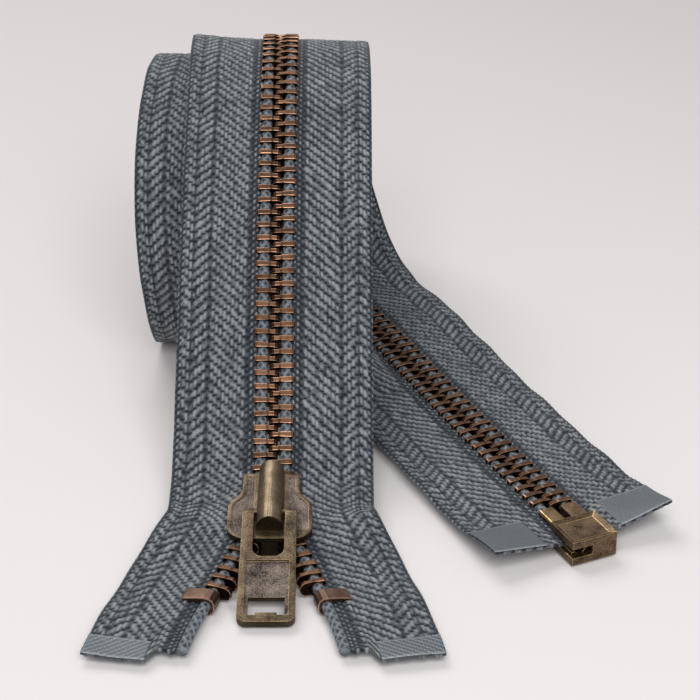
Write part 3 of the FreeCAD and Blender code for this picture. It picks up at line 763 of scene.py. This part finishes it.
# ------------------------------------------------------------ machined pieces
def machined(
    node, name, frame_of, bevel, materials,
    shape=None, pick=None, segments=2, limit=32, side_shade=1.0,
):
    """A finished copy of a CAD piece: flats joined, edges rounded and marked as worn.

    frame_of is (point, x, y, z) of the piece's own axes, in mm."""
    point, x, y, z = frame_of
    to_local = np.array([x, y, z])
    source = frame["nodes"][node].data
    co = np.zeros(len(source.vertices) * 3)
    source.vertices.foreach_get("co", co)
    local = (co.reshape(-1, 3) / MM - point) @ to_local.T
    bm = bmesh.new()
    bm.from_mesh(source)
    for vert, place in zip(bm.verts, local):
        vert.co = place
    bmesh.ops.remove_doubles(bm, verts=bm.verts, dist=0.002)
    bmesh.ops.dissolve_limit(bm, angle_limit=math.radians(1.5), verts=bm.verts, edges=bm.edges)
    bmesh.ops.recalc_face_normals(bm, faces=bm.faces)
    bm.normal_update()
    if shape:
        shape(bm)
        bm.normal_update()
    sharp = [e for e in bm.edges if e.is_manifold and e.calc_face_angle() > math.radians(limit)]
    made = bmesh.ops.bevel(
        bm, geom=sharp, offset=bevel, segments=segments, profile=0.5, affect="EDGES", clamp_overlap=True
    )
    edge_faces = set(made["faces"])
    bm.normal_update()
    worn, painted_shade, index = [], [], []
    for face in bm.faces:
        on_edge = face in edge_faces
        worn.append(0.9 if on_edge and abs(face.normal.z) > 0.3 else 0.3 if on_edge else 0.05)
        # painted shade: the more steeply a face stands, the darker; bevels are left out
        painted_shade.append(0.0 if on_edge else 0.8 * (1 - abs(face.normal.z)) ** 0.5)
        index.append(pick(face) if pick else 0)
        face.smooth = True
    for vert in bm.verts:
        place = point + vert.co.x * x + vert.co.y * y + vert.co.z * z
        vert.co = Vector(place * MM)
    mesh = bpy.data.meshes.new(name)
    bm.to_mesh(mesh)
    bm.free()
    for material in materials:
        mesh.materials.append(material)
    mesh.polygons.foreach_set("material_index", index)
    mesh.set_sharp_from_angle(angle=math.radians(limit))
    face_attribute(mesh, "worn", worn)
    face_attribute(mesh, "painted_shade", np.array(painted_shade) * side_shade)
    piece = bpy.data.objects.new(name, mesh)
    bpy.context.scene.collection.objects.link(piece)
    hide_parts(node)
    return piece


def one(values):
    return [np.asarray(v, float).reshape(-1)[:3] for v in values]


slider_point, slider_along, slider_across, slider_out = one(line_at(np.array(0.0))[:4])
SLIDER_FRAME = (slider_point, slider_across, slider_along, slider_out)
box_point, box_along, box_across, box_out = one(line_at(np.array(BOX_START))[:4])
BOX_FRAME = (box_point, box_across, box_along, box_out)
_slope = math.radians(PULL_SLOPE)
PULL_TOWARD = np.array([0, -math.cos(_slope), -math.sin(_slope)])
PULL_OUT = np.array([0, -math.sin(_slope), math.cos(_slope)])
PULL_FRAME = (
    np.array(bar_joint["pos_m"]) / MM,
    np.cross(PULL_TOWARD, PULL_OUT),
    PULL_TOWARD,
    PULL_OUT,
)
FIELD_LEVEL = 2.4
CHANNEL_TOP = 1.75
PANEL_LEVEL = 0.95


def in_field(face):
    """1 for the sunk fields, 2 for the channel and the front under the pull, which take painted shade."""
    centre = face.calc_center_median()
    if face.normal.z > 0.9 and abs(centre.z - FIELD_LEVEL) < 0.06:
        return 1
    return 2 if centre.z < CHANNEL_TOP and abs(centre.x) < 6.6 else 0


def in_panel(face):
    centre = face.calc_center_median()
    return int(face.normal.z > 0.9 and abs(centre.z - PANEL_LEVEL) < 0.06 and centre.y > PANEL_FROM)


def narrow_crown(bm):
    """Draws the crown in, more towards its back, and gives its front end a blunt slope."""
    for vert in bm.verts:
        vert.co.x *= 0.93 - 0.006 * (vert.co.y + 6)
        if vert.co.y < -5.5 and vert.co.z > 4.2:
            vert.co.y += 0.30 * (vert.co.z - 4.2)


# the crown's front faces take the painted shade material
def painted_shade_front(face):
    return int(face.normal.y < -0.55)


def hipped_faces(bm):
    """Lowers the rims of the box's two broad faces, so that slopes run to flat plates."""
    for way in (-1, 1):
        broad = max(bm.faces, key=lambda f: f.calc_area() * (way * f.normal.z > 0.9))
        rim = list(broad.verts)
        bmesh.ops.inset_region(bm, faces=[broad], thickness=1.0, depth=0.0, use_even_offset=True)
        for vert in rim:
            vert.co.z -= way * 0.42


# ------------------------------------------------------------ build
BLEND = {
    # side: direction across the parting line, and where on it the bend runs
    -1: (np.array([-0.5, -0.866, 0]), -24.5, -16.0),
    1: (np.array([-0.3, -0.954, 0]), -36.0, -27.0),
}


def bend_to_end(piece, side):
    """Bakes the piece's transform into its mesh; the span where its free end would bend is worked out but
    not used.
    """
    way, start, end = BLEND[side]
    shift = float(way @ ORIGIN)
    start, end = (tuple(way * (value + shift) * MM) for value in (start, end))
    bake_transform(piece)


for hand, side in SIDES.items():
    end_body = hand + "_end"
    tape = woven_tape(hand + "_tape_weave", side)
    bend_to_end(tape, side)
    cord = core_cord(hand + "_core_cord_braid", side)
    bend_to_end(cord, side)
    chain_from = PART_AT - (BOX_START - PIN_OUTSIDE) + TOOTH_THICK
    teeth = clamped_row(
        hand + "_chain_teeth", TOOTH, side, tooth_places(side, chain_from, 0.0), COPPER,
        [hand + "_teeth"], 0.02,
    )
    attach(teeth, "root")
    ends = clamped_row(
        hand + "_free_teeth", TOOTH, side, tooth_places(side, 0.0, FREE_TEETH_END), COPPER,
        [hand + "_end_teeth"], 0.04,
    )
    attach(ends, end_body)
    stop = clamped_row(
        hand + "_stop_clamp", STOP, side, [TOP_STOP_AT], STOPS, [hand + "_top_stop"],
        side_shade=0.3,
    )
    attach(stop, end_body)
    top_from = FREE_LENGTH - TOP_FILM_LENGTH
    top = film(hand + "_top_film_patch", side, top_from, FREE_LENGTH, 1, hand + "_top_film")
    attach(top, end_body)
    low_to = TAPE_FROM + FILM_LENGTH
    low = film(hand + "_bottom_film_patch", side, TAPE_FROM, low_to, -1, hand + "_bottom_film")
    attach(low, "root")

for node, side in (("insertion_pin", -1), ("retainer_pin", 1)):
    middle = PART_AT - BOX_START + PIN_OUTSIDE - PIN_LENGTH / 2
    pin = clamped_row(node + "_sleeve", PIN, side, [middle], BOXED, [node], side_shade=0.4)
    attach(pin, "root")

body = machined(
    "slider_body", "slider_body_cast", SLIDER_FRAME, 0.2, [BRONZE, GRAIN, SHADE],
    pick=in_field,
)
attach(body, "slider")
crown = machined(
    "slider_crown", "slider_crown_shell", SLIDER_FRAME, 0.4, [CROWN_BRASS, SHADE],
    shape=narrow_crown, pick=painted_shade_front, segments=3,
)
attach(crown, "slider")
pull = machined(
    "pull_tab", "pull_tab_frame", PULL_FRAME, 0.3, [BRONZE, GRAIN],
    pick=in_panel, segments=3,
)
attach(pull, "pull")
box = machined(
    "retainer_box", "retainer_box_shell", BOX_FRAME, 0.24, [BOXED],
    shape=hipped_faces, limit=14, side_shade=0.3,
)
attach(box, "root")

for node, material in (("lock_pawl", BRONZE), ("lock_spring", STEEL)):
    holder = frame["nodes"][node]
    holder.data.materials.clear()
    holder.data.materials.append(material)


# ------------------------------------------------------------ studio
def studio():
    scene = bpy.context.scene
    scene.view_settings.view_transform = "Standard"
    world = bpy.data.worlds.new("studio")
    world.use_nodes = True
    background = world.node_tree.nodes["Background"]
    background.inputs["Color"].default_value = (0.97, 0.98, 1.0, 1)
    background.inputs["Strength"].default_value = 0.27
    scene.world = world

    n = Nodes("pale_floor_painted_falloff")
    n.fixed(Roughness=0.9, Specular_IOR_Level=0.2)
    # painted shade: the floor's colour darkens towards the back, in place of the light's falloff
    away = n.add("ShaderNodeSeparateXYZ")
    n.link(n.place(), away.inputs["Vector"])
    reach = n.add("ShaderNodeMapRange")
    reach.inputs["From Min"].default_value = 0.0
    reach.inputs["From Max"].default_value = 0.45
    n.link(away.outputs["Y"], reach.inputs["Value"])
    n.finish(n.ramp(reach.outputs[0], [(0.0, (0.90, 0.863, 0.856)), (1.0, (0.66, 0.605, 0.602))]))
    mesh = bpy.data.meshes.new("floor")
    size = 4.0
    corners = [(-size, -size, 0), (size, -size, 0), (size, size, 0), (-size, size, 0)]
    mesh.from_pydata(corners, [], [(0, 1, 2, 3)])
    mesh.materials.append(n.material)
    floor = bpy.data.objects.new("floor", mesh)
    floor.location.z = -0.0001
    scene.collection.objects.link(floor)

    lamps = [
        ("back", (-0.22, 0.40, 0.56), 0.46, 2.1),
        ("front", (0.04, -0.50, 0.52), 0.50, 3.3),
    ]
    for name, place, size, power in lamps:
        light = bpy.data.lights.new(name, "AREA")
        light.energy = power
        light.size = size
        lamp = bpy.data.objects.new(name, light)
        lamp.location = place
        aim = Vector((0, 0.02, 0.02)) - lamp.location
        lamp.rotation_euler = aim.to_track_quat("-Z", "Y").to_euler()
        scene.collection.objects.link(lamp)


CAMERA_AT = np.array([0, -272.7, 199.8])    # mm
LOOKS_DOWN = 28                             # degrees
SENSOR = 36
IMAGE_WIDTH = 700
FOCAL = 2078                                # in units of the image's width over 700


def camera():
    down = math.radians(LOOKS_DOWN)
    cam = bpy.data.cameras.new("camera")
    cam.sensor_width = SENSOR
    cam.lens = SENSOR * FOCAL / IMAGE_WIDTH
    cam.clip_start = 0.01
    holder = bpy.data.objects.new("camera", cam)
    holder.location = Vector((ORIGIN + CAMERA_AT) * MM)
    holder.rotation_euler = (math.pi / 2 - down, 0, 0)
    bpy.context.scene.collection.objects.link(holder)
    bpy.context.scene.camera = holder


studio()
camera()
